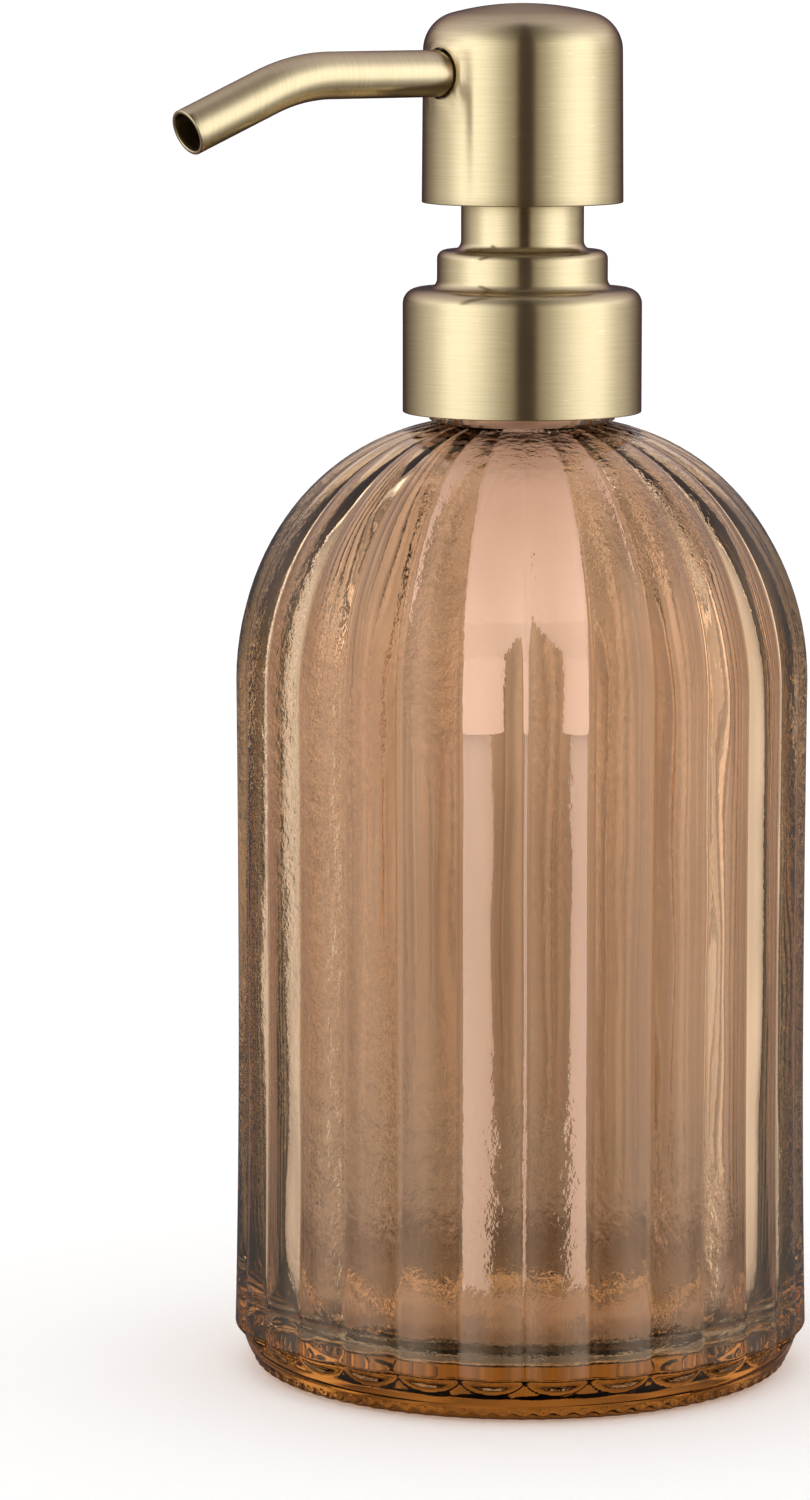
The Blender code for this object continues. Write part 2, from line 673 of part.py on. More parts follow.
def main():
    clear_scene()
    glass = finish("amber_glass", (0.43, 0.24, 0.12), 0.05, transmission=1.0)
    gold = finish("brushed_gold", (0.72, 0.6, 0.42), 0.3, metallic=1.0)
    white = finish("white_plastic", (0.86, 0.86, 0.84), 0.4)
    clear = finish("clear_plastic", (0.9, 0.9, 0.88), 0.2, transmission=0.8)
    grey = finish("grey_rubber", (0.35, 0.35, 0.35), 0.7)
    steel = finish("spring_steel", (0.7, 0.7, 0.7), 0.25, metallic=1.0)

    make_bottle(glass)
    make_collar(gold)
    make_closure(white)
    make_gasket(grey)
    make_cylinder(white)
    make_guide(white)
    make_stem_seal(grey)
    make_spring_seat(white)
    make_spring(steel)
    make_dip_tube(clear)
    ball("inlet_ball", INLET_BALL_RADIUS, INLET_BALL_Z, steel)
    make_stem(white)
    make_piston(white)
    make_valve_seat(white)
    ball("outlet_ball", OUTLET_BALL_RADIUS, OUTLET_BALL_Z, steel)
    make_head_shell(gold)
    make_head_core(white)
    make_spout(gold)
    make_spout_seal(grey)


main()
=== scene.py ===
import json
import math

import bmesh
import bpy
from mathutils import Matrix, Vector, noise


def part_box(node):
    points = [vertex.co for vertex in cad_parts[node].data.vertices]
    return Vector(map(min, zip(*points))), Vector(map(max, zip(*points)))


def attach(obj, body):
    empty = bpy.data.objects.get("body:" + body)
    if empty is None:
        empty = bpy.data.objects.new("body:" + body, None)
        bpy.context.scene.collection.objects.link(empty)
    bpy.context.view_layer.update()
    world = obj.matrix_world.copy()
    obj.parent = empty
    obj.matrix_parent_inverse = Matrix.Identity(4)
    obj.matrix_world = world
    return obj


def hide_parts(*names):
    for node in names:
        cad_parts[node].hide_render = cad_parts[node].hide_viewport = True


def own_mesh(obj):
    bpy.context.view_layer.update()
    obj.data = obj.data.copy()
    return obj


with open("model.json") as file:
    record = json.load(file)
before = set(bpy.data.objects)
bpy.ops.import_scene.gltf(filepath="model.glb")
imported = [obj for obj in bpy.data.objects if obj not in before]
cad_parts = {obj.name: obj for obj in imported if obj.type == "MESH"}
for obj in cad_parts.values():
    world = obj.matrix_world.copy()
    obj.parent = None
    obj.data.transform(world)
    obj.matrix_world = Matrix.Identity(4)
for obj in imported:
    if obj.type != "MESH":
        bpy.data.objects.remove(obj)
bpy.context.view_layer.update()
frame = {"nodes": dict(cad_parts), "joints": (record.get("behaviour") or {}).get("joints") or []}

scene = bpy.context.scene
mm = 0.001  # pieces are shaped in millimetres and scaled once, when they are finished
fullTurn = 2 * math.pi
upAxis = (0, 0, 1)


def frameBox(node):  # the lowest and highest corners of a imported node, in millimetres
    return [[round(value / mm, 4) for value in corner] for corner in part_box(node)]


def footOf(node):
    return frameBox(node)[0][2]


def topOf(node):
    return frameBox(node)[1][2]


def radiusOf(node):  # for a piece that is round about Z
    return frameBox(node)[1][0]


view = {  # the main camera
    "place": (0.6455, -0.452, 0.1902),
    "turn": (82.13, 0, 56.1),  # degrees about X, Y and Z
    "lens": 146.4,
}


def makeCamera():
    data = bpy.data.cameras.new("camera")
    data.lens = view["lens"]
    data.clip_start, data.clip_end = 0.05, 200
    camera = bpy.data.objects.new("camera", data)
    camera.location = view["place"]
    camera.rotation_euler = [math.radians(turn) for turn in view["turn"]]
    scene.collection.objects.link(camera)
    scene.camera = camera


class Wire:  # a socket that takes part in sums: each operator adds its Math node
    def __init__(self, tree, socket=None):
        self.tree = tree
        self.socket = socket

    def node(self, kind, settings=None, sockets=None, output=0):
        made = self.tree.nodes.new(kind)
        for name, value in (settings or {}).items():
            if name == "stops":
                made.color_ramp.elements.remove(made.color_ramp.elements[1])
                for index, (place, colour) in enumerate(value):
                    stops = made.color_ramp.elements
                    stop = stops[0] if index == 0 else stops.new(place)
                    stop.position = place
                    stop.color = (*colour, 1) if isinstance(colour, tuple) else (colour,) * 3 + (1,)
            elif name == "blend":
                made.color_ramp.interpolation = value
            else:
                setattr(made, name, value)
        for name, value in (sockets or {}).items():
            if isinstance(value, Wire):
                self.tree.links.new(value.socket, made.inputs[name])
            else:
                made.inputs[name].default_value = value
        return Wire(self.tree, made.outputs[output] if made.outputs else None)

    def maths(self, operation, first, second=0.0):
        return self.node("ShaderNodeMath", {"operation": operation}, {0: first, 1: second})

    def __add__(self, other):
        return self.maths("ADD", self, other)

    def __sub__(self, other):
        return self.maths("SUBTRACT", self, other)

    def __rsub__(self, other):
        return self.maths("SUBTRACT", other, self)

    def __mul__(self, other):
        return self.maths("MULTIPLY", self, other)

    def __truediv__(self, other):
        return self.maths("DIVIDE", self, other)

    def __pow__(self, other):
        return self.maths("POWER", self, other)

    __radd__ = __add__
    __rmul__ = __mul__

    def ramp(self, *stops, blend="EASE"):
        return self.node("ShaderNodeValToRGB", {"stops": stops, "blend": blend}, {0: self})

    def mix(self, first, second):  # this value from 0 to 1 goes from the first colour to the second
        colours = [value if isinstance(value, Wire) else (*value, 1) for value in (first, second)]
        return self.node(
            "ShaderNodeMix", {"data_type": "RGBA"}, {0: self, 6: colours[0], 7: colours[1]}, output=2
        )

    def scaled(self, *factors):  # a vector stretched along each axis
        return self.node(
            "ShaderNodeVectorMath", {"operation": "MULTIPLY"}, {0: self, 1: factors}
        )

    def noise(self, detail=3.0, rough=0.5, size=1.0):
        settings = {"Vector": self, "Scale": size, "Detail": detail, "Roughness": rough}
        return self.node("ShaderNodeTexNoise", {}, settings)

    def parts(self):
        return [self.node("ShaderNodeSeparateXYZ", {}, {0: self}, output) for output in range(3)]

    def bump(self, strength, distance):
        return self.node(
            "ShaderNodeBump", {}, {"Strength": strength, "Distance": distance, "Height": self}
        )


studio = {
    "middle": -31,  # degrees from +X to the dark gap between the two big soft boxes
    "strength": 1.4,
    "sky": (0.44, 0.4, 0.45),
    "low": (0.035, 0.022, 0.02),
    "backdrop": 0.8,
    "sides": 1.5,  # the soft boxes as seen through the glass
    "room": 1.12,
    "inner": (2.05, 2.2, 2.8),  # light that reaches the pieces behind the glass
}


def makeWorld():
    world = bpy.data.worlds.new("studio")
    world.use_nodes = True
    tree = world.node_tree
    tree.nodes.clear()
    start = Wire(tree)
    way = start.node("ShaderNodeTexCoord", {}, {}, output=0)
    x, y, z = way.parts()
    flat = (x * x + y * y + 1e-6) ** 0.5
    middle = math.radians(studio["middle"])
    facing = (x * math.cos(middle) + y * math.sin(middle)) / flat
    turn = facing.maths("ARCCOSINE", facing) / math.pi  # 0 towards the camera, 1 behind the object
    boxes = turn.ramp(
        (0.0, (0.01, 0.006, 0.001)), (0.045, (0.012, 0.008, 0.002)), (0.068, (0.2, 0.18, 0.14)),
        (0.13, (0.36, 0.35, 0.3)), (0.26, (0.84, 0.83, 0.79)), (0.34, (1.0, 0.99, 0.96)),
        (0.43, (0.97, 0.96, 0.93)), (0.55, (0.52, 0.51, 0.47)), (0.72, (0.24, 0.23, 0.22)),
        (0.88, (0.1, 0.09, 0.1)), (1.0, (0.03, 0.025, 0.035)), blend="LINEAR",
    )
    height = z * 0.5 + 0.5
    window = height.ramp(
        (0.12, 0.03), (0.3, 0.35), (0.4, 1.0), (0.7, 1.0), (0.86, 0.35), (1.0, 0.1), blend="LINEAR"
    )
    sky = height.ramp((0.55, 0.0), (0.68, 1.0), (1.0, 1.0), blend="LINEAR")
    sky = sky * turn.ramp((0.3, 0.0), (0.6, 1.0), (1.0, 1.0), blend="LINEAR")
    upper = sky.mix(studio["low"], studio["sky"])
    lit = start.node(
        "ShaderNodeVectorMath", {"operation": "SCALE"},
        {0: boxes, "Scale": window * studio["strength"]},
    )
    glossy = start.node("ShaderNodeVectorMath", {"operation": "ADD"}, {0: lit, 1: upper})

    behind = turn.ramp(
        (0.5, 0.0), (0.68, 0.05), (0.73, 0.1), (0.76, 2.3), (0.795, 2.3), (0.82, 0.3),
        (0.87, 0.85), (0.905, 1.35), (0.93, 0.75), (0.965, 0.95), (1.0, 1.15), blend="LINEAR",
    )
    behind = behind * height.ramp((0.3, 0.2), (0.42, 0.45), (0.48, 1.0), blend="LINEAR")
    through = start.node(
        "ShaderNodeVectorMath", {"operation": "SCALE"},
        {0: (1.0, 0.98, 0.94), "Scale": behind * studio["backdrop"]},
    )
    sides = start.node("ShaderNodeVectorMath", {"operation": "SCALE"}, {0: lit, "Scale": studio["sides"]})
    through = start.node("ShaderNodeVectorMath", {"operation": "MAXIMUM"}, {0: through, 1: sides})
    rays = {
        name: start.node("ShaderNodeLightPath", {}, {}, output=name)
        for name in ("Is Glossy Ray", "Is Transmission Ray", "Diffuse Depth")
    }
    room = (studio["room"],) * 3
    lighting = rays["Is Transmission Ray"].mix(room, studio["inner"])
    colour = rays["Is Glossy Ray"].mix(room, glossy)
    colour = rays["Is Transmission Ray"].mix(colour, through)
    scattered = rays["Diffuse Depth"].maths("GREATER_THAN", rays["Diffuse Depth"], 0.5)
    colour = scattered.mix(colour, lighting)
    shine = start.node("ShaderNodeBackground", {}, {0: colour, 1: 1.0})
    start.node("ShaderNodeOutputWorld", {}, {0: shine})
    scene.world = world


floorSize = 60.0  # metres, so that it reaches past the top of the picture


def makeFloor():
    bm = bmesh.new()
    bmesh.ops.create_grid(bm, x_segments=1, y_segments=1, size=floorSize)
    mesh = bpy.data.meshes.new("floor")
    bm.to_mesh(mesh)
    bm.free()
    floor = bpy.data.objects.new("floor", mesh)
    scene.collection.objects.link(floor)
    material = bpy.data.materials.new("paleFloor")
    material.use_nodes = True
    shader = material.node_tree.nodes["Principled BSDF"]
    shader.inputs["Base Color"].default_value = (0.96, 0.96, 0.96, 1)
    shader.inputs["Roughness"].default_value = 0.9
    shader.inputs["Specular IOR Level"].default_value = 0
    mesh.materials.append(material)
    floor.visible_glossy = False
    floor.visible_transmission = False


makeCamera()
makeWorld()
makeFloor()
scene.view_settings.view_transform = "Standard"
print("camera, light and floor are in place")


def newFinish(name, **values):
    material = bpy.data.materials.new(name)
    material.use_nodes = True
    tree = material.node_tree
    shader = tree.nodes["Principled BSDF"]
    for label, value in values.items():
        shader.inputs[label.replace("_", " ")].default_value = value
    place = Wire(tree).node("ShaderNodeTexCoord", {}, {}, output=3)
    return material, shader, place


def feed(shader, **wires):
    for label, wire in wires.items():
        wire.tree.links.new(wire.socket, shader.inputs[label.replace("_", " ")])


gold = {
    "colour": (0.84, 0.72, 0.48),
    "light": (0.93, 0.81, 0.61),
    "deep": (0.78, 0.66, 0.415),
    "roughness": 0.23,
    "spread": 0.08,
    "anisotropy": 0.85,
    "edge": (0.36, 0.29, 0.32, 1),
}


def brushedGold(name, along):  # along is a function that gives the coordinate across the brushing
    material, shader, place = newFinish(
        name, Metallic=1.0, Anisotropic=gold["anisotropy"], Anisotropic_Rotation=0.25,
        Specular_Tint=gold["edge"],
    )
    lines = along(place)
    fine = lines.noise(detail=4.0, rough=0.6)
    cloudy = place.scaled(90, 90, 90).noise(detail=2.0)
    flecks = lines.scaled(2.6, 2.6, 0.45).noise(detail=1.0).ramp((0.0, 0.0), (0.72, 0.0), (0.79, 1.0))
    base = fine.ramp((0.3, 0.0), (0.7, 1.0)).mix(gold["deep"], gold["colour"])
    base = (flecks * 0.6).mix(base, gold["light"])
    rough = fine * gold["spread"] + cloudy * 0.06 + (gold["roughness"] - 0.08) - flecks * 0.08
    feed(shader, Base_Color=base, Roughness=rough, Normal=fine.bump(0.35, 0.00002))
    return material


def roundTheAxis(place):  # brushing in rings about Z, on walls and over the crown alike
    x, y, z = place.parts()
    out = (x * x + y * y + 1e-9) ** 0.5
    return place.node(
        "ShaderNodeCombineXYZ", {}, {0: x * 130, 1: y * 130, 2: (z - out) * 5200}
    )


def roundTheSpout(place):
    return place.scaled(150, 5200, 150)


def moulded(name, colour, deep, roughness, **values):
    material, shader, place = newFinish(name, **values)
    flow = place.scaled(60, 60, 25).noise(detail=3.0)
    grain = place.scaled(2600, 2600, 2600).noise(detail=2.0)
    feed(
        shader,
        Base_Color=flow.ramp((0.35, 0.0), (0.7, 1.0)).mix(deep, colour),
        Roughness=grain * 0.12 + flow * 0.08 + (roughness - 0.1),
        Normal=grain.bump(0.2, 0.00002),
    )
    return material


def drawnSteel(name, scale):
    material, shader, place = newFinish(name, Metallic=1.0)
    lines = place.scaled(*scale).noise(detail=3.0)
    feed(
        shader,
        Base_Color=lines.ramp((0.3, 0.0), (0.7, 1.0)).mix((0.6, 0.6, 0.61), (0.8, 0.8, 0.81)),
        Roughness=lines * 0.14 + 0.12,
        Normal=lines.bump(0.15, 0.00001),
    )
    return material


amber = {
    "tint": (0.91, 0.69, 0.55),
    "pale": (0.97, 0.77, 0.63),
    "absorb": (0.84, 0.71, 0.46),
    "density": 90,  # per metre of glass
    "lustre": 0.03,  # share of the light that the outer film turns back
}


def amberGlass():
    material, shader, place = newFinish(
        "amberGlass", Transmission_Weight=1.0, IOR=1.5, Specular_IOR_Level=0.25,
        Specular_Tint=(0.85, 0.66, 0.5, 1),
    )
    tree = material.node_tree
    inside = place.node("ShaderNodeAttribute", {"attribute_name": "inside"}, {}, output=2)
    streaks = place.scaled(60, 60, 14).noise(detail=3.0)
    crinkle = place.scaled(700, 700, 420).noise(detail=3.0, rough=0.6)
    patches = place.scaled(45, 45, 22).noise(detail=1.0).ramp((0.42, 0.0), (0.6, 1.0))
    base = streaks.ramp((0.35, 0.0), (0.65, 1.0)).mix(amber["tint"], amber["pale"])
    height = crinkle * (inside * patches * 0.45 + 0.02)
    feed(
        shader, Base_Color=base, Roughness=streaks * 0.02 + 0.005,
        Metallic=(1 - inside) * amber["lustre"], Normal=height.bump(1.0, 0.0003),
    )
    volume = place.node(
        "ShaderNodeVolumeAbsorption", {}, {0: (*amber["absorb"], 1), 1: amber["density"]}
    )
    tree.links.new(volume.socket, tree.nodes["Material Output"].inputs["Volume"])
    return material


finishes = {  # one for each look, shared by the pieces
    "turnedGold": brushedGold("turnedGold", roundTheAxis),
    "spoutGold": brushedGold("spoutGold", roundTheSpout),
    "amberGlass": amberGlass(),
    "whitePlastic": moulded("whitePlastic", (0.88, 0.88, 0.86), (0.82, 0.82, 0.79), 0.38),
    "clearPlastic": moulded(
        "clearPlastic", (0.9, 0.91, 0.9), (0.84, 0.85, 0.83), 0.22, Transmission_Weight=0.35, IOR=1.45
    ),
    "greyRubber": moulded("greyRubber", (0.3, 0.3, 0.31), (0.24, 0.24, 0.25), 0.7),
    "wireSteel": drawnSteel("wireSteel", (500, 500, 500)),
    "ballSteel": drawnSteel("ballSteel", (900, 900, 900)),
}
print("finishes are mixed")


def finishPiece(bm, name, node, finish, slot, body, sharp=40):
    bmesh.ops.remove_doubles(bm, verts=bm.verts, dist=0.0005)
    bmesh.ops.recalc_face_normals(bm, faces=bm.faces)
    bmesh.ops.scale(bm, vec=(mm, mm, mm), verts=bm.verts)
    mesh = bpy.data.meshes.new(name)
    bm.to_mesh(mesh)
    bm.free()
    mesh.shade_smooth()
    mesh.set_sharp_from_angle(angle=math.radians(sharp))
    mesh.materials.append(finishes[finish])
    piece = bpy.data.objects.new(name, mesh)
    scene.collection.objects.link(piece)
    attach(piece, body)
    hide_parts(node)
    return piece


def rounded(corners, steps=5):  # an outline of (radius, height) corners; a third value rounds one
    points = []
    for index, corner in enumerate(corners):
        here = Vector(corner[:2])
        if len(corner) < 3:
            points.append(here)
            continue
        before = (Vector(corners[index - 1][:2]) - here).normalized()
        after = (Vector(corners[(index + 1) % len(corners)][:2]) - here).normalized()
        half = before.angle(after) / 2
        centre = here + (before + after).normalized() * corner[2] / math.sin(half)
        start = here + before * corner[2] / math.tan(half) - centre
        sweep = math.pi - 2 * half
        if before.x * after.y - before.y * after.x > 0:
            sweep = -sweep
        for step in range(steps + 1):
            points.append(centre + Matrix.Rotation(sweep * step / steps, 2) @ start)
    return points


def arc(centreR, centreZ, across, up, start, end, steps):
    turns = [start + (end - start) * step / steps for step in range(steps + 1)]
    return [(centreR + across * math.cos(a), centreZ + up * math.sin(a)) for a in turns]


def spread(first, last, steps):  # evenly spaced values, the last one left out
    return [first + (last - first) * step / steps for step in range(steps)]


def turnedMesh(outline, sides):
    bm = bmesh.new()
    verts = [bm.verts.new((r, 0, z)) for r, z in outline]
    edges = [bm.edges.new(pair) for pair in zip(verts, verts[1:])]
    if outline[0][0] > 0 or outline[-1][0] > 0:
        edges.append(bm.edges.new((verts[-1], verts[0])))
    bmesh.ops.spin(
        bm, geom=verts + edges, cent=(0, 0, 0), axis=upAxis, angle=fullTurn, steps=sides, use_merge=True
    )
    return bm


def sweepOn(bm, faces, centre, axis, angle, step, steps, keep=False):  # carries an end face along
    moved = bmesh.ops.spin(
        bm, geom=faces, cent=centre, axis=axis, angle=angle, dvec=step, steps=steps, use_duplicate=False
    )
    if not keep:
        bmesh.ops.delete(bm, geom=faces, context="FACES_ONLY")
    return [item for item in moved["geom_last"] if isinstance(item, bmesh.types.BMFace)]


bottle = {
    "ribs": 28,
    "columnsPerRib": 18,
    "phase": 4.57,  # degrees from +X to the first seam
    "ribHeight": 1.0,
    "seamSoftness": 0.012,
    "cuspZ": 6.35,  # the seams between ribs end here
    "ribEndZ": 4.4,
    "waist": (36.05, 48.0),  # radius and height
    "foot": 36.6,
    "shoulder": (36.2, 91.0),
    "shoulderAcross": 29.9,
    "shoulderUp": 33.6,
    "shoulderEnd": 81,
    "base": 32.2,
    "recess": (28.0, 0.9),
    "ringInner": 29.5,
    "inside": 33.5,
    "corner": 8.0,
    "floorZ": 6.0,
    "bore": 9.5,
    "neck": 12.0,
    "lip": topOf("glass_bottle"),
    "knurls": 84,
    "knurlHeight": 0.42,
    "waves": 0.2,
}
thread = {"pitch": 25.4 / 6, "turns": 1.25, "startZ": 128.5, "crest": 13.2, "foot": 0.95, "top": 0.55}


def seamRadius(z):
    waistR, waistZ = bottle["waist"]
    shoulderR, shoulderZ = bottle["shoulder"]
    if z < bottle["cuspZ"]:
        return bottle["base"] + (bottle["foot"] - bottle["base"]) * math.sqrt(
            1 - (1 - z / bottle["cuspZ"]) ** 2
        )
    if z < waistZ:
        return waistR + (bottle["foot"] - waistR) * ((waistZ - z) / (waistZ - bottle["cuspZ"])) ** 2
    if z < shoulderZ:
        return waistR + (shoulderR - waistR) * ((z - waistZ) / (shoulderZ - waistZ)) ** 2
    across = math.sqrt(1 - ((z - shoulderZ) / bottle["shoulderUp"]) ** 2)
    return shoulderR - bottle["shoulderAcross"] * (1 - across)


def ribRise(z, across):  # across is 0 on a rib's crest and 1 at the seam beside it
    height = bottle["ribHeight"] * seamRadius(z) / bottle["shoulder"][0]
    down = max(0, (bottle["cuspZ"] - z) / (bottle["cuspZ"] - bottle["ribEndZ"]))
    share = 1 - across**2 - down**2
    return height * (share + math.sqrt(share**2 + bottle["seamSoftness"])) / 2


def bottleOutline():  # from the middle of the underside, up the outside, down the inside
    shoulderR, shoulderZ = bottle["shoulder"]
    recessR, recessZ = bottle["recess"]
    heel = [bottle["cuspZ"] * (1 - math.cos(math.radians(turn))) for turn in spread(0, 58, 12)]
    heights = heel + spread(3.05, 7.6, 16) + spread(7.6, bottle["waist"][1], 12)
    heights += spread(bottle["waist"][1], shoulderZ, 10)
    end = math.radians(bottle["shoulderEnd"])
    turns = spread(0, end, 26) + [end]
    heights += [shoulderZ + bottle["shoulderUp"] * math.sin(turn) for turn in turns]
    outside = [(seamRadius(z), z) for z in heights]
    neckR, lipZ = bottle["neck"], bottle["lip"]
    neckFoot = outside[-1][1] + 0.4
    neck = [(neckR, z) for z in spread(neckFoot, thread["startZ"] - 1.2, 3)]
    neck += [(neckR, z) for z in spread(thread["startZ"] - 1.2, thread["startZ"] + 6.6, 26)]
    lip = arc(neckR - 0.6, lipZ - 0.6, 0.6, 0.6, 0, math.pi / 2, 4)
    lip += arc(bottle["bore"] + 0.5, lipZ - 0.5, 0.5, 0.5, math.pi / 2, math.pi, 4)
    wall = shoulderR - bottle["inside"]
    across, up = bottle["shoulderAcross"] - wall, bottle["shoulderUp"] - wall
    centreR = shoulderR - bottle["shoulderAcross"]
    boreTurn = math.acos((bottle["bore"] - centreR) / across)
    boreEnd = shoulderZ + up * math.sin(boreTurn)
    bore = [(bottle["bore"], z) for z in spread(lipZ - 2.5, boreEnd + 0.5, 4)]
    inner = arc(centreR, shoulderZ, across, up, boreTurn, 0, 22)
    corner = bottle["corner"]
    cornerZ = bottle["floorZ"] + corner
    inner += [(bottle["inside"], z) for z in spread(shoulderZ - 3, cornerZ, 22)]
    inner += arc(bottle["inside"] - corner, cornerZ, corner, corner, 0, -math.pi / 2, 9)
    floor = [(18, bottle["floorZ"]), (8, bottle["floorZ"]), (0, bottle["floorZ"])]
    under = [(0, recessZ), (14, recessZ), (recessR, recessZ), (bottle["ringInner"], 0)]
    return under + outside + neck + lip + bore + inner + floor, neckFoot


def shapeOutside(vert, turn):
    r, z = math.hypot(vert.co.x, vert.co.y), vert.co.z
    place = (math.degrees(turn) - bottle["phase"]) / 360 * bottle["ribs"] % 1
    grown = r + ribRise(z, abs(2 * place - 1))
    if z < 1.6:
        ring = math.sin(math.pi * min(1, z / 1.6)) ** 0.6
        grown += bottle["knurlHeight"] * ring * max(0, math.cos(turn * bottle["knurls"]))
    # a pressed wall is never quite even
    around = Vector((vert.co.x / 9, vert.co.y / 9, z / 45))
    grown += 0.05 * noise.noise(around)
    vert.co.x, vert.co.y = grown * math.cos(turn), grown * math.sin(turn)


def shapeThread(vert, turn):
    r, z = math.hypot(vert.co.x, vert.co.y), vert.co.z
    rise = 0
    for lap in range(2):
        turns = turn % fullTurn / fullTurn + lap
        if turns <= thread["turns"]:
            off = abs(z - thread["startZ"] - turns * thread["pitch"])
            ends = min(1, turns / 0.06, (thread["turns"] - turns) / 0.06)
            slope = (thread["foot"] + 0.25 - off) / (thread["foot"] + 0.25 - thread["top"])
            rise = max(rise, min(1, max(0, slope)) * ends)
    grown = r + (thread["crest"] - bottle["neck"]) * rise
    vert.co.x, vert.co.y = grown * math.cos(turn), grown * math.sin(turn)


def shapeInside(vert, turn):
    r, z = math.hypot(vert.co.x, vert.co.y), vert.co.z
    long = noise.noise(Vector((vert.co.x / 8, vert.co.y / 8, z / 50)))
    short = noise.noise(Vector((vert.co.x / 3, vert.co.y / 3, z / 14 + 9)))
    grown = r + bottle["waves"] * r / bottle["inside"] * (long + 0.35 * short)
    vert.co.x, vert.co.y = grown * math.cos(turn), grown * math.sin(turn)


def makeBottle():
    outline, neckFoot = bottleOutline()
    columns = bottle["ribs"] * bottle["columnsPerRib"]
    bm = turnedMesh(outline, columns)
    insideLimit = seamRadius(bottle["waist"][1]) - 1.2
    mark = bm.verts.layers.float.new("inside")
    for vert in bm.verts:
        r, z = math.hypot(vert.co.x, vert.co.y), vert.co.z
        turn = math.atan2(vert.co.y, vert.co.x)
        outer = r > seamRadius(min(max(z, 0), neckFoot - 0.5)) - 1 and z < neckFoot - 0.2
        if z < 0.01 and r < bottle["base"] - 0.01 or r < 0.01:
            continue
        if outer:
            shapeOutside(vert, turn)
        elif r > bottle["neck"] - 0.05 and z >= neckFoot - 0.2:
            shapeThread(vert, turn)
        elif z > bottle["floorZ"] - 0.1 and r < insideLimit and z < neckFoot - 1:
            vert[mark] = 1.0
            shapeInside(vert, turn)
    finishPiece(bm, "glassBottle", "glass_bottle", "amberGlass", "amber_glass", "bottle", sharp=62)


makeBottle()
print("bottle is blown")


collar = {
    "sheet": 0.4, "radius": radiusOf("collar_shell"), "bottom": footOf("collar_shell"),
    "top": 141.5, "rounding": 2.0,
    "stepRadius": 11.03, "stepTop": 146.4, "stepRounding": 1.1, "fillet": 1.2,
    "sleeveRadius": 7.93, "sleeveTop": topOf("collar_shell"), "sleeveHole": 6.6, "sides": 144,
}


def makeCollar():
    sheet, fillet = collar["sheet"], collar["fillet"]
    skirt, step, sleeve = (collar[k] - sheet for k in ("radius", "stepRadius", "sleeveRadius"))
    top, stepTop, sleeveTop = (collar[k] - sheet for k in ("top", "stepTop", "sleeveTop"))
    edge = sheet * 0.45
    outline = rounded([
        (collar["radius"], collar["bottom"], edge),
        (collar["radius"], collar["top"], collar["rounding"]),
        (collar["stepRadius"], collar["top"], fillet),
        (collar["stepRadius"], collar["stepTop"], collar["stepRounding"]),
        (collar["sleeveRadius"], collar["stepTop"], fillet),
        (collar["sleeveRadius"], collar["sleeveTop"], edge),
        (collar["sleeveHole"], collar["sleeveTop"], edge / 2),
        (collar["sleeveHole"], sleeveTop, edge / 2),
        (sleeve, sleeveTop),
        (sleeve, stepTop, fillet + sheet),
        (step, stepTop, collar["stepRounding"] - sheet),
        (step, top, fillet + sheet),
        (skirt, top, collar["rounding"] - sheet),
        (skirt, collar["bottom"], edge),
    ], steps=8)
    bm = turnedMesh(outline, collar["sides"])
    finishPiece(bm, "collarShell", "collar_shell", "turnedGold", "gold_metal", "closure", sharp=50)


makeCollar()
print("collar is drawn")


head = {
    "wall": 0.5, "radius": 12.85, "rim": radiusOf("head_shell"), "rimZ": footOf("head_shell"),
    "corner": 5.0, "cornerZ": 171.97, "crownTurn": 75, "sides": 160, "lip": 0.28, "lipReach": 2.4,
}
spout = {
    "radius": radiusOf("spout_tube"), "wall": 0.5, "z": topOf("spout_tube") - radiusOf("spout_tube"),
    "root": -frameBox("spout_tube")[1][1], "straight": 29.5, "bend": 25.0,
    "droop": 22.5, "reach": 50.8, "sides": 56, "hole": 3.3, "tipEdge": 0.14,
}


def headOutline(inset):
    turn = math.radians(head["crownTurn"])
    cornerR, corner = head["radius"] - head["corner"], head["corner"] - inset
    crownR = cornerR / math.cos(turn) + head["corner"]
    crownZ = head["cornerZ"] - (crownR - head["corner"]) * math.sin(turn)
    wall = [(head["rim"] - inset, head["rimZ"])]
    rise = head["cornerZ"] - head["rimZ"]
    lean = head["rim"] - head["radius"]
    wall += [(head["rim"] - inset - lean * k / 12, head["rimZ"] + rise * k / 12) for k in range(1, 12)]
    wall += arc(cornerR, head["cornerZ"], corner, corner, 0, turn, 14)
    wall += arc(0, crownZ, crownR - inset, crownR - inset, turn, math.pi / 2, 12)[1:-1]
    return wall + [(0, crownZ + crownR - inset)]


